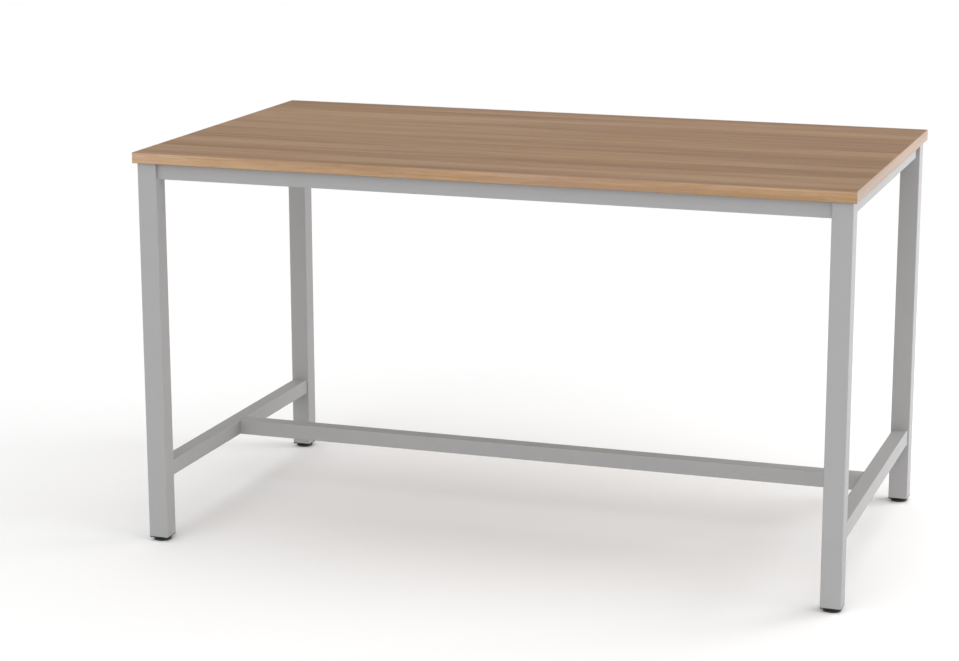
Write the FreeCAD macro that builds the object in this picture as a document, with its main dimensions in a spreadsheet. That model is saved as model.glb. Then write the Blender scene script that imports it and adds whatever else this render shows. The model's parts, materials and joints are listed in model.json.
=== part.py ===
import FreeCAD, Part
import os

import Sketcher

# A standing-height meeting table: a faced board with edge bands on a frame of square steel tube.
# Each end of the frame is welded from two legs, an upper end rail and a lower rail. The two long
# upper rails and the centre stretcher slide over folded spigots and are bolted to them from below.
# Each leg ends in a moulded insert that holds a nut for a levelling foot.
#
# Millimetres. X runs along the table, +Z is up and the front is at -Y. The origin is on the floor
# under the middle of the top.

DIMENSIONS = {
    # table top
    "table_height": 1002.0,
    "top_length": 1800.0,
    "top_depth": 1000.0,
    "top_thickness": 27.0,
    "band_thickness": 2.0,
    "band_edge_radius": 1.0,
    # frame tubes; the overhang is from the edge of the top to the outer faces of the legs
    "top_overhang": 9.0,
    "leg_size": 50.0,
    "leg_wall": 2.0,
    "rail_height": 40.0,
    "rail_width": 30.0,
    "rail_wall": 2.0,
    "low_rail_size": 40.0,
    "low_rail_wall": 2.0,
    "low_rail_top": 202.0,
    "tube_outer_radius": 2.5,
    "tube_inner_radius": 0.5,
    # spigots, and the bolts that go up through the tube into a nut on the spigot's floor
    "spigot_length": 85.0,
    "spigot_wall": 3.0,
    "spigot_bend_radius": 1.5,
    "spigot_clearance": 0.4,
    "bolt_first": 25.0,
    "bolt_pitch": 40.0,
    "bolt_diameter": 6.0,
    "bolt_length": 12.0,
    "bolt_point": 0.6,
    "bolt_clearance": 0.6,
    "bolt_head_diameter": 10.5,
    "bolt_head_height": 2.0,
    "bolt_shoulder_diameter": 9.6,
    "bolt_shoulder_height": 1.0,
    "bolt_face_diameter": 6.6,
    "bolt_socket_flats": 4.0,
    "bolt_socket_depth": 1.3,
    "bolt_nut_flats": 10.0,
    "bolt_nut_height": 5.0,
    # tabs that hold the top, and their wood screws
    "tab_length": 44.0,
    "tab_reach": 26.0,
    "tab_thickness": 3.0,
    "tab_corner_radius": 4.0,
    "tab_hole_reach": 15.0,
    "long_tab_pitch": 580.0,
    "end_tab_pitch": 460.0,
    "screw_diameter": 5.0,
    "screw_clearance": 0.8,
    "screw_length": 22.0,
    "screw_point": 5.0,
    "screw_head_diameter": 9.5,
    "screw_head_height": 3.0,
    "screw_shoulder_diameter": 8.8,
    "screw_shoulder_height": 1.6,
    "screw_face_diameter": 6.2,
    "screw_recess_span": 4.6,
    "screw_recess_width": 1.2,
    "screw_recess_depth": 1.6,
    "thread_clearance": 0.05,
    # moulded foot insert
    "flange_thickness": 3.0,
    "flange_chamfer": 0.6,
    "plug_height": 28.0,
    "plug_wall": 2.2,
    "plug_gap": 0.9,
    "plug_lead_in": 1.2,
    "corner_slot": 4.0,
    "corner_slot_start": 4.0,
    "fin_thickness": 0.9,
    "fin_fit": 0.1,
    "fin_inset": 5.0,
    "fin_first": 6.0,
    "fin_pitch": 5.5,
    "fin_count": 4.0,
    "boss_diameter": 24.0,
    "boss_height": 15.0,
    "rib_thickness": 2.0,
    "rib_height": 12.0,
    "foot_nut_flats": 13.0,
    "foot_nut_height": 6.5,
    "foot_nut_fit": 0.05,
    # threaded stud with a spanner collar and a flat head that the pad captures
    "stud_diameter": 8.0,
    "stud_length": 32.0,
    "stud_point": 1.0,
    "stud_clearance": 0.4,
    "collar_flats": 13.0,
    "collar_height": 4.0,
    "collar_margin": 1.5,
    "neck_diameter": 10.0,
    "head_diameter": 16.0,
    "head_thickness": 3.2,
    "swivel_clearance": 0.3,
    "swivel_play": 0.1,
    # levelling foot pad
    "pad_diameter": 44.0,
    "pad_height": 8.5,
    "pad_gap": 0.5,
    "pad_floor": 2.5,
    "pad_rim_height": 4.5,
    "pad_rim_bevel": 1.0,
    "pad_base_chamfer": 0.8,
    "pad_hub_diameter": 26.0,
}

TOLERANCE = 1e-6

# Places that more than one piece uses, worked out from the sheet
FRAME_TOP = "(Dim.table_height - Dim.top_thickness)"
FLANGE_UNDERSIDE = "(Dim.pad_height + Dim.pad_gap)"
LEG_UNDERSIDE = f"({FLANGE_UNDERSIDE} + Dim.flange_thickness)"
LEG_X = "(Dim.top_length / 2 - Dim.top_overhang - Dim.leg_size / 2)"
LEG_Y = "(Dim.top_depth / 2 - Dim.top_overhang - Dim.leg_size / 2)"
LEG_INNER_X = f"({LEG_X} - Dim.leg_size / 2)"
LEG_INNER_Y = f"({LEG_Y} - Dim.leg_size / 2)"
LEG_INSIDE = "(Dim.leg_size - 2 * Dim.leg_wall)"
RAIL_UNDERSIDE = f"({FRAME_TOP} - Dim.rail_height)"
RAIL_Z = f"({FRAME_TOP} - Dim.rail_height / 2)"
LOW_RAIL_UNDERSIDE = "(Dim.low_rail_top - Dim.low_rail_size)"
LOW_RAIL_Z = "(Dim.low_rail_top - Dim.low_rail_size / 2)"
LOW_RAIL_INNER_X = f"({LEG_X} - Dim.low_rail_size / 2)"
BOLT_REACHES = ("Dim.bolt_first", "(Dim.bolt_first + Dim.bolt_pitch)")
BOLT_HOLE_RADIUS = "(Dim.bolt_diameter + Dim.bolt_clearance) / 2"
RECESS_DEPTH = "(Dim.collar_height + Dim.collar_margin)"
HEXAGON_CORNER = "(1 / sqrt(3))"

# Sign of X and of Y for each corner, and for each end and side
CORNERS = {
    "front_left": ("-", "-"),
    "front_right": ("", "-"),
    "back_left": ("-", ""),
    "back_right": ("", ""),
}
ENDS = {"left": "-", "right": ""}
SIDES = {"front": "-", "back": ""}

# Turns that lay a tube's own Z axis along the table's X or Y axis. After ALONG_X the tube's own
# +X side faces down.
ALONG_X = FreeCAD.Rotation(FreeCAD.Vector(0, 1, 0), 90)
ALONG_Y = FreeCAD.Rotation(FreeCAD.Vector(1, 0, 0), -90)

doc = FreeCAD.newDocument("StandingMeetingTable")
nodes = []


def make_sheet():
    sheet = doc.addObject("Spreadsheet::Sheet", "Dim")
    for row, (name, size) in enumerate(DIMENSIONS.items(), 1):
        sheet.set(f"A{row}", name)
        sheet.set(f"B{row}", str(size))
        sheet.setAlias(f"B{row}", name)
    doc.recompute()
    return sheet


sheet = make_sheet()


def value(expression):
    """The present value of an expression over the sheet."""
    return float(sheet.evalExpression(expression))


def turned(degrees):
    """A turn about the vertical."""
    return FreeCAD.Rotation(FreeCAD.Vector(0, 0, 1), degrees)


# ---------------------------------------------------------------------------
# Bodies, sketches and features


def new_body(label, place=("0", "0", "0"), turn=None):
    body = doc.addObject("PartDesign::Body", label)
    body.Label = label
    if turn is not None:
        body.Placement = FreeCAD.Placement(FreeCAD.Vector(), turn)
    for axis, expression in zip("xyz", place):
        body.setExpression(f"Placement.Base.{axis}", expression)
    return body


def new_node(label, place=("0", "0", "0"), turn=None):
    """A body that is a piece of the table, written to a file of its own."""
    body = new_body(label, place, turn)
    nodes.append(body)
    return body


def origin_feature(body, role):
    return next(item for item in body.Origin.OriginFeatures if item.Role == role)


def new_sketch(body, plane, offset=None):
    sketch = body.newObject("Sketcher::SketchObject", f"{body.Name}_sketch")
    sketch.AttachmentSupport = [(origin_feature(body, plane), "")]
    sketch.MapMode = "FlatFace"
    if offset is not None:
        sketch.setExpression("AttachmentOffset.Base.z", offset)
    return sketch


def bind_constraint(sketch, constraint, expression):
    index = sketch.addConstraint(constraint)
    sketch.renameConstraint(index, f"size_{index}")
    sketch.setExpression(f"Constraints.size_{index}", expression)


def pin_point(sketch, geometry, point, x, y):
    """Tie a sketch point to a place; "0" puts it on the axis."""
    for kind, axis, expression in (("DistanceX", -2, x), ("DistanceY", -1, y)):
        if expression == "0":
            sketch.addConstraint(Sketcher.Constraint("PointOnObject", geometry, point, axis))
        else:
            constraint = Sketcher.Constraint(kind, -1, 1, geometry, point, value(expression))
            bind_constraint(sketch, constraint, expression)


def add_outline(sketch, points):
    """A closed outline of straight lines through points given as pairs of expressions."""
    corners = [FreeCAD.Vector(value(x), value(y), 0) for x, y in points]
    lines = []
    for start, end in zip(corners, corners[1:] + corners[:1]):
        lines.append(sketch.addGeometry(Part.LineSegment(start, end), False))
    for line, following in zip(lines, lines[1:] + lines[:1]):
        sketch.addConstraint(Sketcher.Constraint("Coincident", line, 2, following, 1))
    for line, (x, y) in zip(lines, points):
        pin_point(sketch, line, 1, x, y)


def add_rectangle(sketch, width, depth, middle=("0", "0")):
    x, y = middle
    west, east = f"{x} - ({width}) / 2", f"{x} + ({width}) / 2"
    south, north = f"{y} - ({depth}) / 2", f"{y} + ({depth}) / 2"
    add_outline(sketch, [(west, south), (east, south), (east, north), (west, north)])


def add_circle(sketch, radius, x="0", y="0"):
    middle = FreeCAD.Vector(value(x), value(y), 0)
    circle = sketch.addGeometry(Part.Circle(middle, FreeCAD.Vector(0, 0, 1), value(radius)), False)
    bind_constraint(sketch, Sketcher.Constraint("Radius", circle, value(radius)), radius)
    pin_point(sketch, circle, 3, x, y)


def add_hexagon(sketch, flats):
    """A hexagon with two flats across X."""
    side, corner = f"({flats}) / 2", f"({flats}) * {HEXAGON_CORNER}"
    low, high = f"-{corner} / 2", f"{corner} / 2"
    add_outline(sketch, [(side, low), (side, high), ("0", corner),
                         (f"-{side}", high), (f"-{side}", low), ("0", f"-{corner}")])


def pad(body, sketch, length):
    feature = body.newObject("PartDesign::Pad", f"{body.Name}_pad")
    feature.Profile = sketch
    feature.setExpression("Length", length)
    doc.recompute()
    return feature


def pocket(body, sketch, depth):
    """Cut along the sketch's normal; a cut that removes nothing is an error."""
    doc.recompute()
    before = body.Shape.Volume
    feature = body.newObject("PartDesign::Pocket", f"{body.Name}_pocket")
    feature.Profile = sketch
    feature.Reversed = True
    feature.setExpression("Length", depth)
    doc.recompute()
    if body.Shape.Volume > before - TOLERANCE:
        raise ValueError(f"{feature.Name} cuts nothing")
    return feature


def revolve(body, points):
    """A turned solid about Z from an outline of radius and height."""
    sketch = new_sketch(body, "XZ_Plane")
    add_outline(sketch, points)
    feature = body.newObject("PartDesign::Revolution", f"{body.Name}_revolution")
    feature.Profile = sketch
    feature.ReferenceAxis = (sketch, ["V_Axis"])
    feature.Angle = 360
    doc.recompute()
    return feature


def dress(body, kind, chosen, size_name, size):
    """Fillet or chamfer the edges of the body's last feature that the chosen test accepts."""
    base = body.Tip
    names = [f"Edge{number}" for number, edge in enumerate(base.Shape.Edges, 1) if chosen(edge)]
    if not names:
        raise ValueError(f"{body.Name} has no edge to dress")
    feature = body.newObject(f"PartDesign::{kind}", f"{body.Name}_{kind.lower()}")
    feature.Base = (base, names)
    feature.setExpression(size_name, size)
    doc.recompute()


def fillet(body, chosen, radius):
    dress(body, "Fillet", chosen, "Radius", radius)


def chamfer(body, chosen, size):
    dress(body, "Chamfer", chosen, "Size", size)


def ends_of(edge):
    return edge.Vertexes[0].Point, edge.Vertexes[-1].Point


def same(first, second):
    return abs(first - second) < TOLERANCE


def upright_corner(half_x, half_y):
    """Accepts the straight edges along Z at the corners of a centred rectangle."""
    def chosen(edge):
        start, end = ends_of(edge)
        along_z = same(start.x, end.x) and same(start.y, end.y) and not same(start.z, end.z)
        return along_z and same(abs(start.x), half_x) and same(abs(start.y), half_y)
    return chosen


# ---------------------------------------------------------------------------
# Table top


def tab_places():
    """Place of each tab's welded edge at the inside of its rail, and its turn."""
    places = []
    for side, sign in SIDES.items():
        for offset in ("-Dim.long_tab_pitch", "0", "Dim.long_tab_pitch"):
            inner_face = f"{sign}({LEG_Y} - Dim.rail_width / 2)"
            places.append((offset, inner_face, 0 if side == "front" else 180))
    for end, sign in ENDS.items():
        for offset in ("-Dim.end_tab_pitch / 2", "Dim.end_tab_pitch / 2"):
            inner_face = f"{sign}({LEG_X} - Dim.rail_width / 2)"
            places.append((inner_face, offset, -90 if end == "left" else 90))
    return places


def screw_places():
    """Where each tab's hole lies, measured from the rail towards the middle of the table."""
    places = []
    for x, y, degrees in tab_places():
        inward = turned(degrees).multVec(FreeCAD.Vector(0, 1, 0))
        along_x, along_y = round(inward.x), round(inward.y)
        places.append((x if along_x == 0 else f"{x} + ({along_x}) * Dim.tab_hole_reach",
                       y if along_y == 0 else f"{y} + ({along_y}) * Dim.tab_hole_reach"))
    return places


def make_top_board():
    body = new_node("top_board", ("0", "0", FRAME_TOP))
    sketch = new_sketch(body, "XY_Plane")
    add_rectangle(sketch, "Dim.top_length - 2 * Dim.band_thickness",
                  "Dim.top_depth - 2 * Dim.band_thickness")
    pad(body, sketch, "Dim.top_thickness")
    pilots = new_sketch(body, "XY_Plane")
    for x, y in screw_places():
        add_circle(pilots, "Dim.screw_diameter / 2 + Dim.thread_clearance", x, y)
    pocket(body, pilots, "Dim.screw_length - Dim.tab_thickness")


def make_edge_band(label, length, place, turn):
    """A band that stands on its long edge, thickness outwards along its own -Y."""
    body = new_node(label, place, turn)
    sketch = new_sketch(body, "XY_Plane")
    add_rectangle(sketch, length, "Dim.band_thickness", ("0", "-Dim.band_thickness / 2"))
    pad(body, sketch, "Dim.top_thickness")
    outer_face = -value("Dim.band_thickness")

    def outer_long_edge(edge):
        start, end = ends_of(edge)
        return same(start.y, outer_face) and same(end.y, outer_face) and same(start.z, end.z)
    fillet(body, outer_long_edge, "Dim.band_edge_radius")


def make_edge_bands():
    core_x = "(Dim.top_length / 2 - Dim.band_thickness)"
    core_y = "(Dim.top_depth / 2 - Dim.band_thickness)"
    for side, sign in SIDES.items():
        make_edge_band(f"edge_band_{side}", "Dim.top_length",
                       ("0", f"{sign}{core_y}", FRAME_TOP), turned(0 if side == "front" else 180))
    for end, sign in ENDS.items():
        make_edge_band(f"edge_band_{end}", f"2 * {core_y}",
                       (f"{sign}{core_x}", "0", FRAME_TOP), turned(-90 if end == "left" else 90))


# ---------------------------------------------------------------------------
# Frame tubes


def make_tube(label, width, depth, wall, length, place, turn=None):
    """A hollow section centred on its own Z axis, width along its X and depth along its Y."""
    body = new_node(label, place, turn)
    sketch = new_sketch(body, "XY_Plane")
    add_rectangle(sketch, width, depth)
    add_rectangle(sketch, f"{width} - 2 * {wall}", f"{depth} - 2 * {wall}")
    pad(body, sketch, length)
    half_x, half_y, thick = value(width) / 2, value(depth) / 2, value(wall)
    fillet(body, upright_corner(half_x, half_y), "Dim.tube_outer_radius")
    fillet(body, upright_corner(half_x - thick, half_y - thick), "Dim.tube_inner_radius")
    return body


def drill_underside(body, length):
    """Bolt holes near both ends, through the wall that faces down."""
    sketch = new_sketch(body, "YZ_Plane")
    for reach in BOLT_REACHES:
        add_circle(sketch, BOLT_HOLE_RADIUS, "0", reach)
        add_circle(sketch, BOLT_HOLE_RADIUS, "0", f"{length} - {reach}")
    pocket(body, sketch, "Dim.leg_size")


def make_legs():
    for corner, (sign_x, sign_y) in CORNERS.items():
        make_tube(f"leg_{corner}", "Dim.leg_size", "Dim.leg_size", "Dim.leg_wall",
                  f"{FRAME_TOP} - {LEG_UNDERSIDE}",
                  (f"{sign_x}{LEG_X}", f"{sign_y}{LEG_Y}", LEG_UNDERSIDE))


def make_end_rails():
    for end, sign in ENDS.items():
        make_tube(f"{end}_end_rail", "Dim.rail_width", "Dim.rail_height", "Dim.rail_wall",
                  f"2 * {LEG_INNER_Y}", (f"{sign}{LEG_X}", f"-{LEG_INNER_Y}", RAIL_Z), ALONG_Y)
        make_tube(f"lower_rail_{end}", "Dim.low_rail_size", "Dim.low_rail_size",
                  "Dim.low_rail_wall", f"2 * {LEG_INNER_Y}",
                  (f"{sign}{LEG_X}", f"-{LEG_INNER_Y}", LOW_RAIL_Z), ALONG_Y)


def make_long_rails():
    length = f"2 * {LEG_INNER_X}"
    for side, sign in SIDES.items():
        rail = make_tube(f"{side}_rail", "Dim.rail_height", "Dim.rail_width", "Dim.rail_wall",
                         length, (f"-{LEG_INNER_X}", f"{sign}{LEG_Y}", RAIL_Z), ALONG_X)
        drill_underside(rail, length)


def make_stretcher():
    length = f"2 * {LOW_RAIL_INNER_X}"
    stretcher = make_tube("centre_stretcher", "Dim.low_rail_size", "Dim.low_rail_size",
                          "Dim.low_rail_wall", length,
                          (f"-{LOW_RAIL_INNER_X}", "0", LOW_RAIL_Z), ALONG_X)
    drill_underside(stretcher, length)


# ---------------------------------------------------------------------------
# Spigots, bolts and nuts


def make_spigot(label, inside_width, inside_height, place, turn):
    """A folded channel, open at the top, that lies on the floor of the tube around it. It starts
    at the face that it is welded to and runs along its own +X."""
    body = new_node(label, place, turn)
    wall = "Dim.spigot_wall"
    half = f"(({inside_width}) / 2 - Dim.spigot_clearance)"
    height = f"({inside_height} - Dim.spigot_clearance)"
    inner = f"({half} - {wall})"
    sketch = new_sketch(body, "YZ_Plane")
    add_outline(sketch, [(f"-{half}", "0"), (half, "0"), (half, height), (inner, height),
                         (inner, wall), (f"-{inner}", wall), (f"-{inner}", height),
                         (f"-{half}", height)])
    pad(body, sketch, "Dim.spigot_length")

    def fold_at(y, z):
        def chosen(edge):
            start, end = ends_of(edge)
            on_fold = same(abs(start.y), y) and same(start.y, end.y)
            return on_fold and same(start.z, z) and same(end.z, z)
        return chosen
    fillet(body, fold_at(value(half), 0), "Dim.spigot_wall + Dim.spigot_bend_radius")
    fillet(body, fold_at(value(inner), value(wall)), "Dim.spigot_bend_radius")
    holes = new_sketch(body, "XY_Plane")
    for reach in BOLT_REACHES:
        add_circle(holes, BOLT_HOLE_RADIUS, reach, "0")
    pocket(body, holes, f"2 * {wall}")


def make_spigots():
    for corner, (sign_x, sign_y) in CORNERS.items():
        make_spigot(f"rail_spigot_{corner}", "Dim.rail_width - 2 * Dim.rail_wall",
                    "Dim.rail_height - 2 * Dim.rail_wall",
                    (f"{sign_x}{LEG_INNER_X}", f"{sign_y}{LEG_Y}",
                     f"{RAIL_UNDERSIDE} + Dim.rail_wall"), turned(0 if sign_x else 180))
    for end, sign in ENDS.items():
        make_spigot(f"stretcher_spigot_{end}", "Dim.low_rail_size - 2 * Dim.low_rail_wall",
                    "Dim.low_rail_size - 2 * Dim.low_rail_wall",
                    (f"{sign}{LOW_RAIL_INNER_X}", "0", f"{LOW_RAIL_UNDERSIDE} + Dim.low_rail_wall"),
                    turned(0 if sign else 180))


def domed_head(kind):
    """Outline of a head under its bearing face at z = 0, domed in two slopes, out to the shank."""
    return [("0", f"-Dim.{kind}_head_height"),
            (f"Dim.{kind}_face_diameter / 2", f"-Dim.{kind}_head_height"),
            (f"Dim.{kind}_shoulder_diameter / 2", f"-Dim.{kind}_shoulder_height"),
            (f"Dim.{kind}_head_diameter / 2", "0"), (f"Dim.{kind}_diameter / 2", "0")]


def make_bolt():
    """A button-head bolt, point up, with its bearing face at its origin."""
    body = new_body("one_bolt")
    shank = "Dim.bolt_diameter / 2"
    revolve(body, domed_head("bolt") + [
        (shank, "Dim.bolt_length - Dim.bolt_point"),
        (f"{shank} - Dim.bolt_point", "Dim.bolt_length"), ("0", "Dim.bolt_length")])
    socket = new_sketch(body, "XY_Plane", "-Dim.bolt_head_height")
    add_hexagon(socket, "Dim.bolt_socket_flats")
    pocket(body, socket, "Dim.bolt_socket_depth")
    return body


def make_hex_nut(body, flats, height, bore_radius):
    blank = new_sketch(body, "XY_Plane")
    add_hexagon(blank, flats)
    pad(body, blank, height)
    bore = new_sketch(body, "XY_Plane")
    add_circle(bore, bore_radius)
    pocket(body, bore, height)


def make_wood_screw():
    """A pan-head wood screw, point up, with its bearing face at its origin."""
    body = new_body("one_wood_screw")
    revolve(body, domed_head("screw") + [
        ("Dim.screw_diameter / 2", "Dim.screw_length - Dim.screw_point"),
        ("0", "Dim.screw_length")])
    recess = new_sketch(body, "XY_Plane", "-Dim.screw_head_height")
    tip, side = "Dim.screw_recess_span / 2", "Dim.screw_recess_width / 2"
    quarter = [(tip, f"-{side}"), (tip, side), (side, side), (side, tip), (f"-{side}", tip),
               (f"-{side}", side), (f"-{tip}", side), (f"-{tip}", f"-{side}"),
               (f"-{side}", f"-{side}"), (f"-{side}", f"-{tip}"), (side, f"-{tip}"),
               (side, f"-{side}")]
    add_outline(recess, quarter)
    pocket(body, recess, "Dim.screw_recess_depth")
    return body


def make_tab():
    """A steel tab with its top face at z = 0, welded at its own y = 0 edge."""
    body = new_body("one_tab")
    sketch = new_sketch(body, "XY_Plane", "-Dim.tab_thickness")
    add_rectangle(sketch, "Dim.tab_length", "Dim.tab_reach", ("0", "Dim.tab_reach / 2"))
    pad(body, sketch, "Dim.tab_thickness")
    fillet(body, upright_corner(value("Dim.tab_length") / 2, value("Dim.tab_reach")),
           "Dim.tab_corner_radius")
    hole = new_sketch(body, "XY_Plane", "-Dim.tab_thickness")
    add_circle(hole, "(Dim.screw_diameter + Dim.screw_clearance) / 2", "0", "Dim.tab_hole_reach")
    pocket(body, hole, "Dim.tab_thickness")
    return body


def make_group(label, master, places):
    """One node of equal, separate pieces: copies of the master at the given places and turns."""
    copies = []
    for x, y, z, degrees in places:
        copy = master.Shape.copy()
        base = FreeCAD.Vector(value(x), value(y), value(z))
        copy.Placement = FreeCAD.Placement(base, turned(degrees))
        copies.append(copy)
    group = doc.addObject("Part::Feature", label)
    group.Label = label
    group.Shape = Part.makeCompound(copies)
    nodes.append(group)


def rail_bolt_places(height):
    return [(f"{sign_x}({LEG_INNER_X} - {reach})", f"{sign_y}{LEG_Y}", height, 0)
            for sign_x, sign_y in CORNERS.values() for reach in BOLT_REACHES]


def stretcher_bolt_places(height):
    return [(f"{sign}({LOW_RAIL_INNER_X} - {reach})", "0", height, 0)
            for sign in ENDS.values() for reach in BOLT_REACHES]


def make_fasteners():
    bolt = make_bolt()
    nut = new_body("one_bolt_nut")
    make_hex_nut(nut, "Dim.bolt_nut_flats", "Dim.bolt_nut_height",
                 "Dim.bolt_diameter / 2 + Dim.thread_clearance")
    rail_nut_seat = f"{RAIL_UNDERSIDE} + Dim.rail_wall + Dim.spigot_wall"
    low_nut_seat = f"{LOW_RAIL_UNDERSIDE} + Dim.low_rail_wall + Dim.spigot_wall"
    make_group("rail_bolts", bolt, rail_bolt_places(RAIL_UNDERSIDE))
    make_group("rail_nuts", nut, rail_bolt_places(rail_nut_seat))
    make_group("stretcher_bolts", bolt, stretcher_bolt_places(LOW_RAIL_UNDERSIDE))
    make_group("stretcher_nuts", nut, stretcher_bolt_places(low_nut_seat))
    make_group("top_tabs", make_tab(),
               [(x, y, FRAME_TOP, degrees) for x, y, degrees in tab_places()])
    make_group("top_screws", make_wood_screw(),
               [(x, y, f"{FRAME_TOP} - Dim.tab_thickness", 0) for x, y in screw_places()])


# ---------------------------------------------------------------------------
# Levelling feet


def make_foot_insert(label, place):
    """A moulded plug with a flange under the tube, walls slotted at the corners so that they
    flex, rows of fins that grip the tube, and a ribbed boss that holds the nut under a shoulder."""
    body = new_node(label, place)
    plug_outside = f"({LEG_INSIDE} - 2 * Dim.plug_gap)"
    plug_inside = f"({plug_outside} - 2 * Dim.plug_wall)"

    flange = new_sketch(body, "XY_Plane")
    add_rectangle(flange, "Dim.leg_size", "Dim.leg_size")
    pad(body, flange, "Dim.flange_thickness")
    half = value("Dim.leg_size") / 2
    fillet(body, upright_corner(half, half), "Dim.tube_outer_radius")

    def underside(edge):
        start, end = ends_of(edge)
        return same(start.z, 0) and same(end.z, 0)
    chamfer(body, underside, "Dim.flange_chamfer")

    walls = new_sketch(body, "XY_Plane", "Dim.flange_thickness")
    add_rectangle(walls, plug_outside, plug_outside)
    add_rectangle(walls, plug_inside, plug_inside)
    pad(body, walls, "Dim.plug_height")
    plug_top, plug_face = value("Dim.flange_thickness + Dim.plug_height"), value(plug_outside) / 2

    def leading_edge(edge):
        start, end = ends_of(edge)
        at_top = same(start.z, plug_top) and same(end.z, plug_top)
        return at_top and same(max(abs(start.x), abs(start.y)), plug_face)
    chamfer(body, leading_edge, "Dim.plug_lead_in")

    slots = new_sketch(body, "XY_Plane", "Dim.flange_thickness + Dim.corner_slot_start")
    for sign_x, sign_y in CORNERS.values():
        add_rectangle(slots, "2 * Dim.corner_slot", "2 * Dim.corner_slot",
                      (f"{sign_x}{plug_outside} / 2", f"{sign_y}{plug_outside} / 2"))
    pocket(body, slots, "Dim.plug_height")
    boss = new_sketch(body, "XY_Plane", "Dim.flange_thickness")
    add_circle(boss, "Dim.boss_diameter / 2")
    pad(body, boss, "Dim.boss_height")
    rib_span = f"({plug_inside} + Dim.plug_wall)"
    for width, depth in ((rib_span, "Dim.rib_thickness"), ("Dim.rib_thickness", rib_span)):
        rib = new_sketch(body, "XY_Plane", "Dim.flange_thickness")
        add_rectangle(rib, width, depth)
        pad(body, rib, "Dim.rib_height")

    fins = new_sketch(body, "XY_Plane", "Dim.flange_thickness + Dim.fin_first")
    root = f"({plug_outside} / 2 - Dim.plug_wall / 2)"
    tip = f"({LEG_INSIDE} / 2 - Dim.fin_fit)"
    reach, middle = f"({tip} - {root})", f"({tip} + {root}) / 2"
    span = f"({plug_outside} - 2 * Dim.fin_inset)"
    for sign in ("-", ""):
        add_rectangle(fins, reach, span, (f"{sign}{middle}", "0"))
        add_rectangle(fins, span, reach, ("0", f"{sign}{middle}"))
    row = pad(body, fins, "Dim.fin_thickness")
    rows = body.newObject("PartDesign::LinearPattern", f"{body.Name}_fin_rows")
    rows.Originals = [row]
    rows.Direction = (origin_feature(body, "Z_Axis"), [""])
    rows.setExpression("Length", "Dim.fin_pitch * (Dim.fin_count - 1)")
    rows.setExpression("Occurrences", "Dim.fin_count")
    body.Tip = rows

    recess = new_sketch(body, "XY_Plane")
    add_circle(recess, f"Dim.collar_flats * {HEXAGON_CORNER} + Dim.collar_margin")
    pocket(body, recess, RECESS_DEPTH)
    nut_seat = new_sketch(body, "XY_Plane")
    add_hexagon(nut_seat, "Dim.foot_nut_flats + 2 * Dim.foot_nut_fit")
    pocket(body, nut_seat, f"{RECESS_DEPTH} + Dim.foot_nut_height")
    passage = new_sketch(body, "XY_Plane")
    add_circle(passage, "Dim.stud_diameter / 2 + Dim.stud_clearance")
    pocket(body, passage, "Dim.flange_thickness + Dim.boss_height")


def make_foot_stud(label, place):
    """Head, neck, spanner collar and thread, turned about Z, with z = 0 on the floor."""
    body = new_node(label, place)
    head, neck, thread = (f"Dim.{part}_diameter / 2" for part in ("head", "neck", "stud"))
    head_low = "Dim.pad_floor + Dim.swivel_play"
    head_high = f"{head_low} + Dim.head_thickness"
    collar_top = f"{FLANGE_UNDERSIDE} + Dim.collar_height"
    top = f"{collar_top} + Dim.stud_length"
    revolve(body, [("0", head_low), (head, head_low), (head, head_high), (neck, head_high),
                   (neck, collar_top), (thread, collar_top), (thread, f"{top} - Dim.stud_point"),
                   (f"{thread} - Dim.stud_point", top), ("0", top)])
    collar = new_sketch(body, "XY_Plane", FLANGE_UNDERSIDE)
    add_hexagon(collar, "Dim.collar_flats")
    pad(body, collar, "Dim.collar_height")


def make_foot_pad(label, place):
    """A round pad with a cone up to its hub and a cavity that captures the stud's head."""
    body = new_node(label, place)
    rim, hub = "Dim.pad_diameter / 2", "Dim.pad_hub_diameter / 2"
    mouth = "Dim.neck_diameter / 2 + Dim.swivel_clearance"
    cavity = "Dim.head_diameter / 2 + Dim.swivel_clearance"
    ceiling = "Dim.pad_floor + Dim.head_thickness + 2 * Dim.swivel_play"
    revolve(body, [("0", "0"), (f"{rim} - Dim.pad_base_chamfer", "0"),
                   (rim, "Dim.pad_base_chamfer"), (rim, "Dim.pad_rim_height - Dim.pad_rim_bevel"),
                   (f"{rim} - Dim.pad_rim_bevel", "Dim.pad_rim_height"),
                   (hub, "Dim.pad_height"), (mouth, "Dim.pad_height"), (mouth, ceiling),
                   (cavity, ceiling), (cavity, "Dim.pad_floor"), ("0", "Dim.pad_floor")])


def make_feet():
    nut = new_body("one_foot_nut")
    make_hex_nut(nut, "Dim.foot_nut_flats", "Dim.foot_nut_height",
                 "Dim.stud_diameter / 2 + Dim.thread_clearance")
    nut_places = []
    for corner, (sign_x, sign_y) in CORNERS.items():
        x, y = f"{sign_x}{LEG_X}", f"{sign_y}{LEG_Y}"
        make_foot_insert(f"foot_insert_{corner}", (x, y, FLANGE_UNDERSIDE))
        make_foot_stud(f"foot_stud_{corner}", (x, y, "0"))
        make_foot_pad(f"foot_pad_{corner}", (x, y, "0"))
        nut_places.append((x, y, f"{FLANGE_UNDERSIDE} + {RECESS_DEPTH}", 0))
    make_group("insert_nuts", nut, nut_places)


# ---------------------------------------------------------------------------
# Build, check and write


def check_document():
    doc.recompute()
    for item in doc.Objects:
        if "Invalid" in item.State or "Error" in item.State:
            raise ValueError(f"{item.Label} failed to build")
    for node in nodes:
        if node.Shape.isNull() or not node.Shape.isValid():
            raise ValueError(f"{node.Label} has no valid shape")


def write_parts():
    os.makedirs("parts", exist_ok=True)
    for node in nodes:
        node.Shape.exportStep(f"parts/{node.Label}.step")


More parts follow.
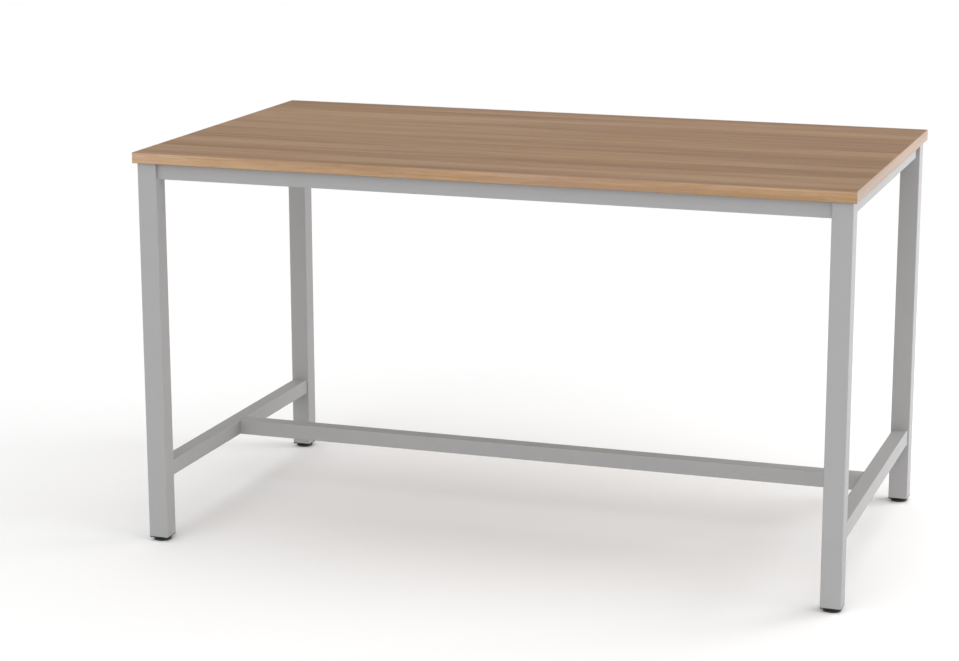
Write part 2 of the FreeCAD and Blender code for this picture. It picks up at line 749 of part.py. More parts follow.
make_top_board()
make_edge_bands()
make_legs()
make_end_rails()
make_long_rails()
make_stretcher()
make_spigots()
make_fasteners()
make_feet()
check_document()
write_parts()
print(f"{len(nodes)} pieces written")
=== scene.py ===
import json
import math
import random

import bmesh
import bpy
from mathutils import Matrix, Vector


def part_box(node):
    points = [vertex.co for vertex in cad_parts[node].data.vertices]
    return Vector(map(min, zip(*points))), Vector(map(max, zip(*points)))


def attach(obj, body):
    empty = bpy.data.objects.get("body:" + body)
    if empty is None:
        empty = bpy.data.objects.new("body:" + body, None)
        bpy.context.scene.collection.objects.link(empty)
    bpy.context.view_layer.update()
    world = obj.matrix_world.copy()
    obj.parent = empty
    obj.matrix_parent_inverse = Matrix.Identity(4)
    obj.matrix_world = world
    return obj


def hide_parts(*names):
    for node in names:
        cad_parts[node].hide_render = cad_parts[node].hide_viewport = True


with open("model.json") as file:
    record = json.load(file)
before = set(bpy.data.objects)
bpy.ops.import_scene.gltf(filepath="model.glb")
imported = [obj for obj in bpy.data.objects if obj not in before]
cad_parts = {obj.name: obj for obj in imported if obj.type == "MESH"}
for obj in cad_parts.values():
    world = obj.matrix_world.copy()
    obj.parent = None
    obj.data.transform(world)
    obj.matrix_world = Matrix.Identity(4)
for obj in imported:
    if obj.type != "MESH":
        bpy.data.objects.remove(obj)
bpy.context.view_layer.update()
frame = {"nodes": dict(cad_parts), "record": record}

# Looks of a standing-height meeting table: a wood-decor top with edge bands on a silver
# powder-coated frame of square tube, with black moulded feet. Metres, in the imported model's frame.

MM = 0.001
NODES = frame["nodes"]
CORNERS = ("front_left", "front_right", "back_left", "back_right")

# ---------------------------------------------------------------------------
# Camera

PHOTO_WIDTH, PHOTO_HEIGHT = 959, 661
FOCAL_LENGTH_PX = 2478.456
PRINCIPAL_POINT_PX = (503.685, 333.493)
CAMERA_PLACE = (1.876214, -5.945089, 1.955454)
CAMERA_YAW = 0.321109
CAMERA_PITCH_DOWN = 0.229440
SENSOR_WIDTH_MM = 36.0
FARTHEST_SEEN = 200


def make_camera():
    data = bpy.data.cameras.new("camera")
    data.sensor_width = SENSOR_WIDTH_MM
    data.lens = FOCAL_LENGTH_PX / PHOTO_WIDTH * SENSOR_WIDTH_MM
    data.shift_x = (PHOTO_WIDTH / 2 - PRINCIPAL_POINT_PX[0]) / PHOTO_WIDTH
    data.shift_y = (PRINCIPAL_POINT_PX[1] - PHOTO_HEIGHT / 2) / PHOTO_WIDTH
    data.clip_end = FARTHEST_SEEN
    camera = bpy.data.objects.new("camera", data)
    camera.location = CAMERA_PLACE
    camera.rotation_euler = (math.pi / 2 - CAMERA_PITCH_DOWN, 0, CAMERA_YAW)
    bpy.context.scene.collection.objects.link(camera)
    bpy.context.scene.camera = camera


# ---------------------------------------------------------------------------
# Shader nodes

NOISE_REACH, NOISE_MIDDLE = (0.3, 0.7), 0.5  # nearly all values of a noise are in this reach


class Shader:
    """Short calls to build one material's or the world's node tree."""

    def __init__(self, owner):
        owner.use_nodes = True
        self.tree = owner.node_tree
        self.tree.nodes.clear()

    def node(self, kind, inputs=None, **settings):
        node = self.tree.nodes.new(kind)
        for name, setting in settings.items():
            setattr(node, name, setting)
        for name, source in (inputs or {}).items():
            self.feed(node.inputs[name], source)
        return node

    def feed(self, socket, source):
        if isinstance(source, bpy.types.NodeSocket):
            self.tree.links.new(source, socket)
        else:
            socket.default_value = source

    def math(self, operation, first, second=0.0):
        return self.node("ShaderNodeMath", {0: first, 1: second}, operation=operation).outputs[0]

    def place(self):
        """The point of the object, in metres in the table's own frame."""
        return self.node("ShaderNodeTexCoord").outputs["Object"]

    def parts(self, vector):
        """The X, Y and Z of a vector."""
        return self.node("ShaderNodeSeparateXYZ", {"Vector": vector}).outputs

    def noise(self, place, per_metre, detail=2.0, roughness=0.5):
        """Noise with about so many features to the metre along each axis, or along all three."""
        stretch = per_metre if isinstance(per_metre, tuple) else (per_metre,) * 3
        mapped = self.node("ShaderNodeMapping", {"Vector": place, "Scale": stretch}).outputs[0]
        inputs = {"Vector": mapped, "Scale": 1.0, "Detail": detail, "Roughness": roughness}
        return self.node("ShaderNodeTexNoise", inputs).outputs["Fac"]

    def ramp(self, factor, stops):
        """A colour that runs through (position, colour) stops."""
        node = self.node("ShaderNodeValToRGB", {"Fac": factor})
        elements = node.color_ramp.elements
        while len(elements) < len(stops):
            elements.new(1.0)
        for element, (position, colour) in zip(elements, stops):
            element.position = position
            element.color = (*colour, 1.0)
        return node.outputs["Color"]

    def remap(self, value, low, high, to_low, to_high):
        inputs = {"Value": value, "From Min": low, "From Max": high, "To Min": to_low,
                  "To Max": to_high}
        return self.node("ShaderNodeMapRange", inputs).outputs["Result"]

    def spread(self, noise, to_low, to_high):
        """The usual reach of a noise taken to new limits."""
        return self.remap(noise, *NOISE_REACH, to_low, to_high)

    def mix(self, factor, first, second, blend="MIX"):
        node = self.node("ShaderNodeMix", data_type="RGBA", blend_type=blend)
        for name, source in (("Factor_Float", factor), ("A_Color", first), ("B_Color", second)):
            self.feed(next(s for s in node.inputs if s.identifier == name), source)
        return next(s for s in node.outputs if s.identifier == "Result_Color")

    def shaded(self, colour, shade):
        """A colour made darker or lighter by a factor."""
        tint = self.node("ShaderNodeCombineColor", {0: shade, 1: shade, 2: shade}).outputs[0]
        return self.mix(1.0, (*colour, 1.0), tint, "MULTIPLY")

    def bump(self, height, distance, strength):
        inputs = {"Height": height, "Distance": distance, "Strength": strength}
        return self.node("ShaderNodeBump", inputs).outputs["Normal"]

    def surface(self, inputs):
        shader = self.node("ShaderNodeBsdfPrincipled", inputs)
        self.node("ShaderNodeOutputMaterial", {"Surface": shader.outputs["BSDF"]})


def linear(red, green, blue):
    """A colour as the eye names it, 0 to 255, as the shader wants it."""
    return tuple(c / 255 / 12.92 if c / 255 <= 0.04045 else ((c / 255 + 0.055) / 1.055) ** 2.4
                 for c in (red, green, blue))


# ---------------------------------------------------------------------------
# Materials

TOP_TONES = linear(135, 103, 74), linear(148, 116, 87), linear(161, 130, 100)
LONG_BAND_TONES = linear(165, 130, 95), linear(182, 148, 114), linear(198, 164, 130)
# The end bands are the same band as the long ones; their darker tones are painted shade on the
# table's ends.
SHORT_BAND_SHADED_TONES = linear(140, 114, 92), linear(155, 128, 105), linear(169, 141, 118)
BAND_CORE = linear(148, 116, 87)
PORE = linear(104, 78, 56)
GLUE = linear(110, 84, 62)
SILVER = linear(167, 167, 167)
ZINC = linear(196, 198, 200)
BLACK = linear(38, 38, 39)
DUST = linear(120, 118, 114)
FLOOR = linear(244, 243, 244)

GRAIN_LAYERS = {  # features to the metre along and across, detail, roughness, share of the tone
    "bands": ((0.7, 11.0), 2.0, 0.5, 0.5),
    "streaks": ((1.6, 55.0), 3.0, 0.6, 0.36),
    "flecks": ((11.0, 160.0), 2.0, 0.5, 0.14),
    "lines": ((5.0, 420.0), 3.0, 0.6, 0.18),
}
TONE_STOPS = 0.49, 0.59, 0.69
GRAIN_WANDER, WANDER_WIDTH = (1.6, 5.0), 22 * MM
GRAIN_PORES, PORE_REACH = (30.0, 1100.0), (0.6, 0.7)
GRAIN_DRIFT = (2.0, 14.0)
SAME_HUE, HUE_SHARE = 0.5, 0.05
WOOD_RELIEF = 0.02 * MM

BAND_EDGE_RADIUS, MILLED_FADE = 1 * MM, 0.2 * MM
GLUE_LINE, GLUE_DEPTH = (0.06 * MM, 0.16 * MM), 0.6

# Features to the metre of the other finishes
COAT_CLOUDS, COAT_FLAKES, COAT_PEEL = 7.0, 2600.0, 520.0
ZINC_BLOOM = 260.0
PLASTIC_TEXTURE, DUST_PATCHES = 1500.0, 90.0
DUST_HEIGHT, DUST_AT_FLOOR, DUST_ABOVE = 4 * MM, 0.28, 0.03


def new_shader(name):
    material = bpy.data.materials.new(name)
    return material, Shader(material)


def grain(shader, place, along):
    """Straight wood grain with its length along X or Y, in tones from 0 to 1, and its fine lines,
    pores and slow drift: broad bands, narrow streaks, short flecks and lines."""
    def noise(at, per_metre, detail, roughness=0.5):
        length, width = per_metre
        stretch = (length, width, width) if along == "X" else (width, length, width)
        return shader.noise(at, stretch, detail, roughness)

    wander = shader.math("SUBTRACT", noise(place, GRAIN_WANDER, detail=1.0), NOISE_MIDDLE)
    shift = {"Y" if along == "X" else "X": shader.math("MULTIPLY", wander, WANDER_WIDTH)}
    bend = shader.node("ShaderNodeCombineXYZ", shift).outputs[0]
    bent = shader.node("ShaderNodeVectorMath", {0: place, 1: bend}, operation="ADD").outputs[0]

    tone, layers = None, {}
    for name, (per_metre, detail, roughness, share) in GRAIN_LAYERS.items():
        layers[name] = noise(bent, per_metre, detail, roughness)
        part = shader.math("MULTIPLY", layers[name], share)
        tone = part if tone is None else shader.math("ADD", tone, part)
    pores = shader.remap(noise(bent, GRAIN_PORES, detail=1.0), *PORE_REACH, 0.0, 1.0)
    drift = noise(bent, GRAIN_DRIFT, detail=4.0)
    return tone, layers["lines"], pores, drift


def wood_colour(shader, grained, tones, pore_depth, drift_reach):
    """Dark, middle and light tones of the grain, which drift from a paler to a yellower brown."""
    tone, _, pores, drift = grained
    colour = shader.ramp(tone, list(zip(TONE_STOPS, tones)))
    colour = shader.mix(shader.math("MULTIPLY", pores, pore_depth), colour, (*PORE, 1.0))
    hue_reach = HUE_SHARE * drift_reach
    return shader.node("ShaderNodeHueSaturation", {
        "Hue": shader.spread(drift, SAME_HUE - hue_reach, SAME_HUE + hue_reach),
        "Saturation": shader.spread(drift, 1 - drift_reach, 1 + drift_reach),
        "Color": colour,
    }).outputs["Color"]


def make_wood_top():
    material, shader = new_shader("wood_top")
    grained = grain(shader, shader.place(), "X")
    _, lines, pores, _ = grained
    relief = shader.math("SUBTRACT", lines, pores)
    shader.surface({
        "Base Color": wood_colour(shader, grained, TOP_TONES, pore_depth=0.42, drift_reach=0.06),
        "Roughness": shader.spread(lines, 0.40, 0.50),
        "Specular IOR Level": 0.03,
        "Normal": shader.bump(relief, WOOD_RELIEF, strength=0.5),
    })
    return material


def make_edge_band(along, tones):
    """The band's printed face, its plain core where its edges are milled round, and the thin dark
    line where its top edge is glued to the board."""
    material, shader = new_shader(f"edge_band_along_{along.lower()}")
    place = shader.place()
    grained = grain(shader, place, along)
    _, lines, _, _ = grained
    at = shader.parts(place)

    low, high = (corner.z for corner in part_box("edge_band_front"))
    off_middle = shader.math("ABSOLUTE", shader.math("SUBTRACT", at["Z"], (low + high) / 2))
    face = (high - low) / 2 - BAND_EDGE_RADIUS
    milled = shader.remap(off_middle, face - MILLED_FADE, face, 0.0, 1.0)
    printed = wood_colour(shader, grained, tones, pore_depth=0.3, drift_reach=0.09)
    colour = shader.mix(milled, printed, (*BAND_CORE, 1.0))

    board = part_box("top_board")[1]
    axis, joint = ("Y", board.y) if along == "X" else ("X", board.x)
    past_joint = shader.math("SUBTRACT", shader.math("ABSOLUTE", at[axis]), joint)
    glue = shader.remap(past_joint, *GLUE_LINE, GLUE_DEPTH, 0.0)
    shader.surface({
        "Base Color": shader.mix(glue, colour, (*GLUE, 1.0)),
        "Roughness": shader.spread(lines, 0.32, 0.40),
        "Normal": shader.bump(lines, WOOD_RELIEF, strength=0.4),
    })
    return material


def make_powder_coat():
    """Satin silver powder coat: flakes, a faint orange peel and slow changes of tone."""
    material, shader = new_shader("powder_coat")
    place = shader.place()
    clouds = shader.noise(place, COAT_CLOUDS)
    flakes = shader.noise(place, COAT_FLAKES, detail=1.0)
    peel = shader.noise(place, COAT_PEEL, roughness=0.4)
    shade = shader.math("ADD", shader.spread(clouds, -0.012, 0.012),
                        shader.spread(flakes, 0.965, 1.035))
    shader.surface({
        "Base Color": shader.shaded(SILVER, shade),
        "Metallic": 0.1,
        "Roughness": shader.spread(peel, 0.52, 0.62),
        "Specular IOR Level": 0.2,
        "Normal": shader.bump(peel, distance=0.03 * MM, strength=0.35),
    })
    return material


def make_zinc_steel():
    """Zinc-plated steel with the cloudy bloom of its plating."""
    material, shader = new_shader("zinc_steel")
    bloom = shader.noise(shader.place(), ZINC_BLOOM, detail=3.0)
    shader.surface({
        "Base Color": shader.shaded(ZINC, shader.spread(bloom, 0.86, 1.06)),
        "Metallic": 1.0,
        "Roughness": shader.spread(bloom, 0.28, 0.42),
        "Normal": shader.bump(bloom, distance=0.02 * MM, strength=0.3),
    })
    return material


def make_black_plastic():
    """Spark-eroded moulded plastic with a little floor dust low down."""
    material, shader = new_shader("black_plastic")
    place = shader.place()
    texture = shader.noise(place, PLASTIC_TEXTURE)
    patches = shader.noise(place, DUST_PATCHES)
    height = shader.parts(place)["Z"]
    cover = shader.remap(height, 0.0, DUST_HEIGHT, DUST_AT_FLOOR, DUST_ABOVE)
    dust = shader.math("MULTIPLY", cover, patches)
    shader.surface({
        "Base Color": shader.mix(dust, (*BLACK, 1.0), (*DUST, 1.0)),
        "Roughness": shader.spread(texture, 0.46, 0.60),
        "Normal": shader.bump(texture, distance=0.04 * MM, strength=0.5),
    })
    return material


MATERIALS = {
    "wood_top": make_wood_top(),
    "long_band": make_edge_band("X", LONG_BAND_TONES),
    # The end bands take the darker tones: painted shade on the same band.
    "shaded_short_band": make_edge_band("Y", SHORT_BAND_SHADED_TONES),
    "powder_coat": make_powder_coat(),
    "zinc_steel": make_zinc_steel(),
    "black_plastic": make_black_plastic(),
}


def dress_cad_nodes():
    """Give each CAD node the finish of its slot."""
    for part in frame["record"]["subparts"]:
        node, slot = part["node"], part["material_slot"]
        if slot == "edge_band":
            # The end bands get their own darker copy of the band's finish: painted shade.
            slot = "long_band" if node in ("edge_band_front", "edge_band_back") else "shaded_short_band"
        data = NODES[node].data
        data.materials.clear()
        data.materials.append(MATERIALS[slot])


# ---------------------------------------------------------------------------
# Meshes

SAME_POINT, NO_LENGTH = 0.001 * MM, 0.0001 * MM
ARC_STEPS = 5


def mesh_piece(name, points, faces, slot, body, smooth_below=35):
    """A new piece on a body, smooth across edges that bend less than the given degrees."""
    mesh = bpy.data.meshes.new(name)
    mesh.from_pydata(points, [], faces)
    clean = bmesh.new()
    clean.from_mesh(mesh)
    bmesh.ops.remove_doubles(clean, verts=clean.verts, dist=SAME_POINT)
    bmesh.ops.dissolve_degenerate(clean, edges=clean.edges, dist=NO_LENGTH)
    clean.to_mesh(mesh)
    clean.free()
    mesh.shade_smooth()
    mesh.set_sharp_from_angle(angle=math.radians(smooth_below))
    mesh.materials.append(MATERIALS[slot])
    piece = bpy.data.objects.new(name, mesh)
    bpy.context.scene.collection.objects.link(piece)
    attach(piece, body)
    return piece


def rounded(profile):
    """Points of a (radius, height, rounding) profile with its rounded corners turned into arcs."""
    corners = [Vector(corner[:2]) for corner in profile]
    points = [corners[0]]
    for index in range(1, len(corners) - 1):
        corner, rounding = corners[index], profile[index][2]
        if rounding == 0:
            points.append(corner)
            continue
        back = (corners[index - 1] - corner).normalized()
        onward = (corners[index + 1] - corner).normalized()
        half_angle = back.angle(onward) / 2
        centre = corner + (back + onward).normalized() * rounding / math.sin(half_angle)
        reach = rounding / math.tan(half_angle)
        first, last = corner + back * reach - centre, corner + onward * reach - centre
        points += [centre + first.slerp(last, step / ARC_STEPS) * rounding
                   for step in range(ARC_STEPS + 1)]
    return points + [corners[-1]]


def turned_skin(rings, segments=72):
    """Points and faces of a closed skin through rings about Z, from (radius, height) pairs. Both
    may be functions of the angle. The first and the last ring are flat and filled in."""
    points, faces = [], []
    for radius, height in rings:
        for i in range(segments):
            angle = math.tau * i / segments
            r = radius(angle) if callable(radius) else radius
            z = height(angle) if callable(height) else height
            points.append(Vector((r * math.cos(angle), r * math.sin(angle), z)))
    for ring in range(len(rings) - 1):
        low, high = ring * segments, (ring + 1) * segments
        for i in range(segments):
            j = (i + 1) % segments
            faces.append((low + i, low + j, high + j, high + i))
    first, last = 0, len(points) - segments
    points += [Vector((0, 0, points[first].z)), Vector((0, 0, points[last].z))]
    for i in range(segments):
        j = (i + 1) % segments
        faces += [(first + j, first + i, len(points) - 2), (last + i, last + j, len(points) - 1)]
    return points, faces


def joined(*skins):
    """Several (points, faces) as one."""
    points, faces = [], []
    for more_points, more_faces in skins:
        start = len(points)
        points += more_points
        faces += [tuple(start + i for i in face) for face in more_faces]
    return points, faces


def moved(skin, matrix):
    return [matrix @ point for point in skin[0]], skin[1]


def hexagon(flats):
    """Radius of a hexagon at an angle, with two flats across X."""
    sixth = math.tau / 6
    return lambda angle: flats / 2 / math.cos((angle + sixth / 2) % sixth - sixth / 2)


def cross(span, width):
    """Radius of a cross of two bars at an angle."""
    tiny = 1e-9

    def bar(along, across):
        return min(span / 2 / max(abs(along), tiny), width / 2 / max(abs(across), tiny))
    return lambda angle: max(bar(math.cos(angle), math.sin(angle)),
                             bar(math.sin(angle), math.cos(angle)))


# ---------------------------------------------------------------------------
# Levelling feet

STUD_HEAD_DIAMETER, STUD_HEAD_THICKNESS, STUD_HEAD_ROUNDING = 16 * MM, 3.2 * MM, 0.4 * MM
STUD_NECK_DIAMETER = 10 * MM
COLLAR_FLATS, COLLAR_HEIGHT = 13 * MM, 4 * MM
COLLAR_FACE_RADIUS = 0.49 * COLLAR_FLATS
COLLAR_CHAMFER = math.radians(30)

THREAD_DIAMETER, THREAD_PITCH = 8 * MM, 1.25 * MM
THREAD_DEPTH = 0.61 * THREAD_PITCH
THREAD_CORE_INSET, THREAD_RUN_IN = 1 * MM, 0.3 * MM
# Where the root and the crest of one turn begin and end, as shares of the pitch
ROOT_RUN, CREST_RUN = (0.0, 0.25), (0.56, 0.69)

PAD_HUB_DIAMETER, PAD_RIM_HEIGHT, PAD_FLOOR = 26 * MM, 4.5 * MM, 2.5 * MM
PAD_CLEARANCE, PAD_PLAY = 0.3 * MM, 0.1 * MM
PAD_BASE_ROUNDING, PAD_RIM_ROUNDING = 0.8 * MM, 1.6 * MM
PAD_HUB_ROUNDING, PAD_MOUTH_ROUNDING = 1.2 * MM, 0.4 * MM


def axis_of(node):
    """Where a turned node stands, on the floor."""
    low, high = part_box(node)
    return Matrix.Translation(((low.x + high.x) / 2, (low.y + high.y) / 2, 0))


def collar_edge(height, slope):
    """Height of the collar's edge, whose corners are turned down to a cone."""
    outline = hexagon(COLLAR_FLATS)
    drop = slope * math.tan(COLLAR_CHAMFER)
    return lambda angle: height - drop * max(0, outline(angle) - COLLAR_FACE_RADIUS)


def thread_skin(low, high, segments=36):
    """A helical V thread from one height to another, pointed at its top."""
    crest = THREAD_DIAMETER / 2
    root = crest - THREAD_DEPTH
    profile = [(rise, root) for rise in ROOT_RUN] + [(rise, crest) for rise in CREST_RUN]
    parts = len(profile)
    steps = math.ceil((high - low) / THREAD_PITCH * segments) + 2 * segments
    points, faces = [], []
    for step in range(steps + 1):
        angle = math.tau * step / segments
        for rise, radius in profile:
            z = min(max(low + THREAD_PITCH * (step / segments - 1 + rise), low), high)
            r = min(radius, root + high - z)
            points.append(Vector((r * math.cos(angle), r * math.sin(angle), z)))
    for step in range(steps - segments):
        for part in range(parts):
            here = step * parts + part
            above = here + 1 if part < parts - 1 else (step + segments) * parts
            face = (here, here + parts, above + parts, above)
            if max(points[i].z for i in face) > low and min(points[i].z for i in face) < high:
                faces.append(face)
    faces.append(tuple(i * parts for i in reversed(range(segments))))
    faces.append(tuple((steps - segments + i) * parts for i in range(segments)))
    return points, faces


def make_stud(corner):
    """Captured head, neck, spanner collar with turned-down corners, and a rolled thread."""
    node = f"foot_stud_{corner}"
    low, high = (point.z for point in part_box(node))
    head_top = low + STUD_HEAD_THICKNESS
    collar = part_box(f"foot_insert_{corner}")[0].z
    collar_top = collar + COLLAR_HEIGHT
    head, neck = STUD_HEAD_DIAMETER / 2, STUD_NECK_DIAMETER / 2
    plain = rounded([(head / 2, low, 0), (head, low, STUD_HEAD_ROUNDING),
                     (head, head_top, STUD_HEAD_ROUNDING), (neck, head_top, 0),
                     (neck, collar, 0)])
    outline = hexagon(COLLAR_FLATS)
    hexed = [(COLLAR_FACE_RADIUS, collar), (outline, collar_edge(collar, slope=-1)),
             (outline, collar_edge(collar_top, slope=1)), (COLLAR_FACE_RADIUS, collar_top),
             (THREAD_DIAMETER / 2 - THREAD_CORE_INSET, collar_top)]
    skin = joined(turned_skin(plain + hexed), thread_skin(collar_top - THREAD_RUN_IN, high))
    piece = mesh_piece(f"threaded_stud_{corner}", *moved(skin, axis_of(node)), "zinc_steel",
                       f"stud_{corner}")
    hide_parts(node)


def make_pad(corner):
    """A moulded pad: rounded rim, coned top and a pocket for the stud's head."""
    node = f"foot_pad_{corner}"
    low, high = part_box(node)
    rim, hub = (high.x - low.x) / 2, PAD_HUB_DIAMETER / 2
    mouth = STUD_NECK_DIAMETER / 2 + PAD_CLEARANCE
    pocket = STUD_HEAD_DIAMETER / 2 + PAD_CLEARANCE
    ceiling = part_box(f"foot_stud_{corner}")[0].z + STUD_HEAD_THICKNESS + PAD_PLAY
    profile = rounded([
        (hub, 0, 0), (rim, 0, PAD_BASE_ROUNDING), (rim, PAD_RIM_HEIGHT, PAD_RIM_ROUNDING),
        (hub, high.z, PAD_HUB_ROUNDING), (mouth, high.z, PAD_MOUTH_ROUNDING),
        (mouth, ceiling, 0), (pocket, ceiling, 0), (pocket, PAD_FLOOR, 0)])
    skin = turned_skin(profile, segments=96)
    piece = mesh_piece(f"moulded_pad_{corner}", *moved(skin, axis_of(node)), "black_plastic",
                       f"pad_{corner}")
    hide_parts(node)


# ---------------------------------------------------------------------------
# Bolts and screws

BOLT_HEAD, BOLT_HEAD_HEIGHT, BOLT_DOME = 10.5 * MM, 2 * MM, 1.7 * MM
BOLT_SHANK, BOLT_TIP = 6 * MM, 0.6 * MM
BOLT_SOCKET, BOLT_SOCKET_DEPTH = 4 * MM, 1.3 * MM

SCREW_HEAD, SCREW_HEAD_HEIGHT, SCREW_DOME = 9.5 * MM, 3 * MM, 2.2 * MM
SCREW_SHANK, SCREW_TIP = 5 * MM, 5 * MM
SCREW_CROSS_SPAN, SCREW_CROSS_WIDTH, SCREW_CROSS_DEPTH = 4.6 * MM, 1.2 * MM, 1.6 * MM

HEAD_FACE_INSET, HEAD_EDGE_ROUNDING = 0.1 * MM, 0.2 * MM
TIP_SHARE = 0.15  # radius of a tip's end, as a share of the shank's diameter


def driven_skin(head, head_height, dome, shank, shank_end, tip, recess, recess_depth):
    """A domed head that hangs below z = 0 with a driven recess, and its shank above."""
    hole = [(recess, recess_depth - head_height), (recess, -head_height)]
    outside = rounded([
        (head / 2 - dome - HEAD_FACE_INSET, -head_height, 0), (head / 2, -head_height, dome),
        (head / 2, 0, HEAD_EDGE_ROUNDING), (shank / 2, 0, 0), (shank / 2, shank_end - tip, 0),
        (TIP_SHARE * shank, shank_end, 0)])
    return turned_skin(hole + outside, segments=48)


def solid_axes(node, apart=15 * MM):
    """Where each of a node's equal upright solids stands in plan."""
    groups = []
    for vertex in NODES[node].data.vertices:
        group = next((g for g in groups if (g[0] - vertex.co.xy).length < apart), None)
        if group is None:
            groups.append([vertex.co.xy.copy()])
        else:
            group.append(vertex.co.xy.copy())
    return [(Vector(map(min, *group)) + Vector(map(max, *group))) / 2 for group in groups]


def make_driven_pieces(node, skin, head_height):
    """Copies of a bolt or screw in place of a node's solids, each turned as the driver left it."""
    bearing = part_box(node)[0].z + head_height
    turn = random.Random(node)
    copies = [moved(skin, Matrix.Translation((x, y, bearing))
                    @ Matrix.Rotation(turn.uniform(0, math.tau), 4, "Z"))
              for x, y in solid_axes(node)]
    piece = mesh_piece(f"driven_{node}", *joined(*copies), "zinc_steel", "frame")
    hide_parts(node)


def make_bolts(node):
    low, high = (point.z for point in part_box(node))
    skin = driven_skin(BOLT_HEAD, BOLT_HEAD_HEIGHT, BOLT_DOME, BOLT_SHANK,
                       high - low - BOLT_HEAD_HEIGHT, BOLT_TIP, hexagon(BOLT_SOCKET),
                       BOLT_SOCKET_DEPTH)
    make_driven_pieces(node, skin, BOLT_HEAD_HEIGHT)


def make_wood_screws():
    low, high = (point.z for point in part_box("top_screws"))
    skin = driven_skin(SCREW_HEAD, SCREW_HEAD_HEIGHT, SCREW_DOME, SCREW_SHANK,
                       high - low - SCREW_HEAD_HEIGHT, SCREW_TIP,
                       cross(SCREW_CROSS_SPAN, SCREW_CROSS_WIDTH), SCREW_CROSS_DEPTH)
    make_driven_pieces("top_screws", skin, SCREW_HEAD_HEIGHT)


# ---------------------------------------------------------------------------
# Weld beads of the two end frames

BEAD_LEG = 1.6 * MM
BEAD_RIPPLE, BEAD_RIPPLE_LENGTH = 0.10, 2.4 * MM
# Section of a bead in shares of its leg: out from the rail, and along it from the leg's face. It
# starts at the root inside the corner and goes down the concave face.
BEAD_SECTION = ((-0.2, -0.2), (0.0, 1.0), (0.12, 0.45), (0.45, 0.12), (1.0, 0.0))
TUBE_CORNER_RADIUS, TUBE_CORNER_STEPS = 2.5 * MM, 4
NEAR_THE_TOP = 1 * MM


def tube_outline(low, high, step=0.6 * MM):
    """Points and outward normals round a tube's section in the XZ plane, from its top middle."""
    r = TUBE_CORNER_RADIUS
    middle_x = (low.x + high.x) / 2
    corners = [(high.x - r, high.z - r), (high.x - r, low.z + r), (low.x + r, low.z + r),
               (low.x + r, high.z - r)]
    path = [(Vector((middle_x, high.z)), Vector((0, 1)))]
    for quarter, centre in enumerate(corners):
        for part in range(TUBE_CORNER_STEPS + 1):
            angle = math.tau / 4 * (1 - quarter - part / TUBE_CORNER_STEPS)
            normal = Vector((math.cos(angle), math.sin(angle)))
            path.append((Vector(centre) + normal * r, normal))
    path.append(path[0])
    fine = []
    for (start, n0), (end, n1) in zip(path, path[1:]):
        count = max(1, round((end - start).length / step))
        fine += [(start.lerp(end, i / count), n0.lerp(n1, i / count).normalized())
                 for i in range(count)]
    return fine


def make_weld_bead(name, rail, leg_face, away):
    """A closed ring of weld round the end of a rail, with a concave face from the rail to the leg's
    face at Y and a root that runs into both. Where the top of the rail lies against the table top,
    the bead stops at its edge."""
    low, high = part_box(rail)
    under_top = high.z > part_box("top_board")[0].z - NEAR_THE_TOP
    outline = tube_outline(low, high)
    points, faces = [], []
    length = 0.0
    for index, (place, normal) in enumerate(outline):
        length += (place - outline[index - 1][0]).length if index else 0
        size = BEAD_LEG * (1 + BEAD_RIPPLE * math.sin(math.tau * length / BEAD_RIPPLE_LENGTH))
        for out, along in BEAD_SECTION:
            x, z = place + normal * (out * size)
            z = min(z, high.z) if under_top else z
            points.append((x, leg_face + away * along * size, z))
    count, across = len(outline), len(BEAD_SECTION)
    for i in range(count):
        j = (i + 1) % count
        for part in range(across):
            after = (part + 1) % across
            quad = (i * across + part, j * across + part, j * across + after, i * across + after)
            faces.append(quad[::-1] if away > 0 else quad)
    mesh_piece(name, points, faces, "powder_coat", "frame", smooth_below=60)


def make_weld_beads():
    for end in ("left", "right"):
        for rail in (f"lower_rail_{end}", f"{end}_end_rail"):
            low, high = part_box(rail)
            make_weld_bead(f"weld_{rail}_front", rail, leg_face=low.y, away=1)
            make_weld_bead(f"weld_{rail}_back", rail, leg_face=high.y, away=-1)


# ---------------------------------------------------------------------------
# Floor, world and lights

FLOOR_REACH = 80.0
LOW_SUN = math.radians(20)
EVEN_LIGHT = 0.25
LIGHT_PATCHES = (  # direction, sharpness, strength
    ((0.0, 0.0, 1.0), 2.0, 0.44),
    ((0.0, 0.0, 1.0), 8.0, 1.20),
    ((math.cos(LOW_SUN), 0.0, math.sin(LOW_SUN)), 8.0, 1.68),
    ((0.0, -math.cos(LOW_SUN), math.sin(LOW_SUN)), 8.0, 2.29),
)
SOFTBOX_PLACE, SOFTBOX_AIM = (3.0, 1.8, 1.0), (0.6, 0.0, 0.6)
SOFTBOX_SIZE, SOFTBOX_POWER = 1.5, 45


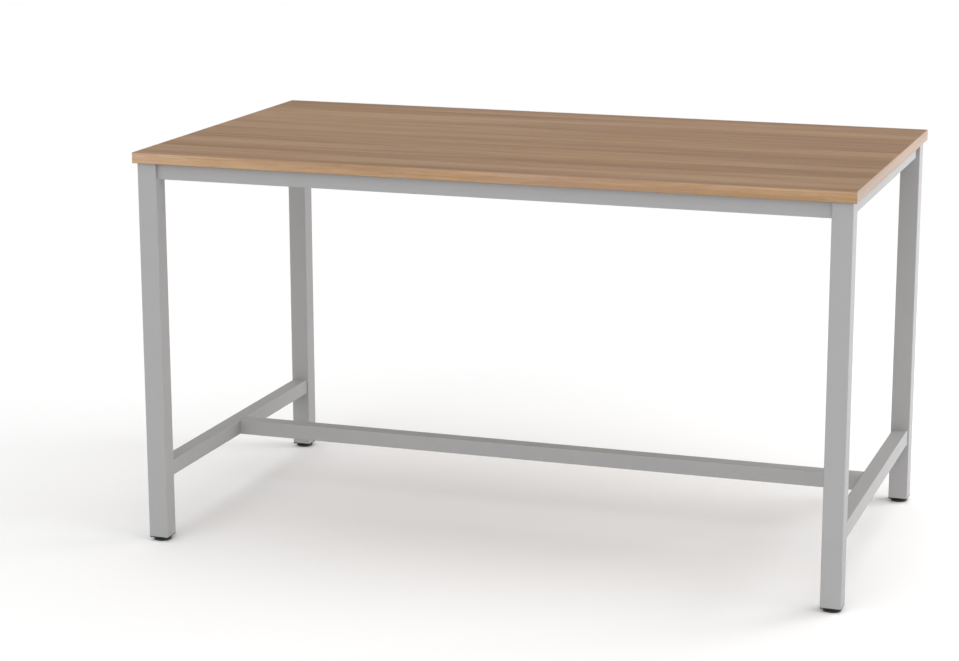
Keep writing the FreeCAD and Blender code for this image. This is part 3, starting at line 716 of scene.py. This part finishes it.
def make_floor():
    """A wide pale floor that lets a camera below it see the underside of the table."""
    r = FLOOR_REACH
    mesh = bpy.data.meshes.new("floor")
    mesh.from_pydata([(-r, -r, 0), (r, -r, 0), (r, r, 0), (-r, r, 0)], [], [(0, 1, 2, 3)])
    floor = bpy.data.objects.new("floor", mesh)
    bpy.context.scene.collection.objects.link(floor)
    material, shader = new_shader("floor")
    seen = shader.node("ShaderNodeLightPath").outputs["Is Camera Ray"]
    colour = shader.mix(seen, (*FLOOR, 1.0), (1.0, 1.0, 1.0, 1.0))
    diffuse = shader.node("ShaderNodeBsdfDiffuse", {"Color": colour}).outputs[0]
    clear = shader.node("ShaderNodeBsdfTransparent").outputs[0]
    below = shader.node("ShaderNodeNewGeometry").outputs["Backfacing"]
    mixed = shader.node("ShaderNodeMixShader", {0: below, 1: diffuse, 2: clear}).outputs[0]
    shader.node("ShaderNodeOutputMaterial", {"Surface": mixed})
    mesh.materials.append(material)


def make_world():
    """Even light from all round and soft patches of it, two overhead, one to the right and one in
    front. What the camera, glass and gloss see of the world is plain white."""
    world = bpy.data.worlds.new("studio")
    bpy.context.scene.world = world
    shader = Shader(world)
    path = shader.node("ShaderNodeLightPath").outputs
    seen = shader.math("MAXIMUM", path["Is Camera Ray"],
                       shader.math("MAXIMUM", path["Is Glossy Ray"], path["Is Transmission Ray"]))
    toward = shader.node("ShaderNodeTexCoord").outputs["Generated"]
    light = EVEN_LIGHT
    for direction, sharpness, strength in LIGHT_PATCHES:
        facing = shader.node("ShaderNodeVectorMath", {0: toward, 1: direction},
                             operation="DOT_PRODUCT").outputs["Value"]
        patch = shader.math("POWER", shader.math("MAXIMUM", facing, 0.0), sharpness)
        light = shader.math("ADD", light, shader.math("MULTIPLY", patch, strength))
    unseen = shader.math("SUBTRACT", 1.0, seen)
    strength = shader.math("ADD", seen, shader.math("MULTIPLY", unseen, light))
    background = shader.node("ShaderNodeBackground", {"Color": (1, 1, 1, 1), "Strength": strength})
    shader.node("ShaderNodeOutputWorld", {"Surface": background.outputs[0]})


def make_softbox():
    """A square lamp behind the right end, which the camera doesn't see."""
    data = bpy.data.lights.new("right_softbox", "AREA")
    data.shape, data.size, data.energy = "SQUARE", SOFTBOX_SIZE, SOFTBOX_POWER
    light = bpy.data.objects.new("right_softbox", data)
    light.location = SOFTBOX_PLACE
    toward = Vector(SOFTBOX_AIM) - Vector(SOFTBOX_PLACE)
    light.rotation_euler = toward.to_track_quat("-Z", "Y").to_euler()
    light.visible_camera = False
    bpy.context.scene.collection.objects.link(light)


# ---------------------------------------------------------------------------
# The scene

make_camera()
make_floor()
make_world()
make_softbox()
bpy.context.scene.view_settings.view_transform = "Standard"

dress_cad_nodes()
for corner in CORNERS:
    make_stud(corner)
    make_pad(corner)
make_bolts("rail_bolts")
make_bolts("stretcher_bolts")
make_wood_screws()
make_weld_beads()
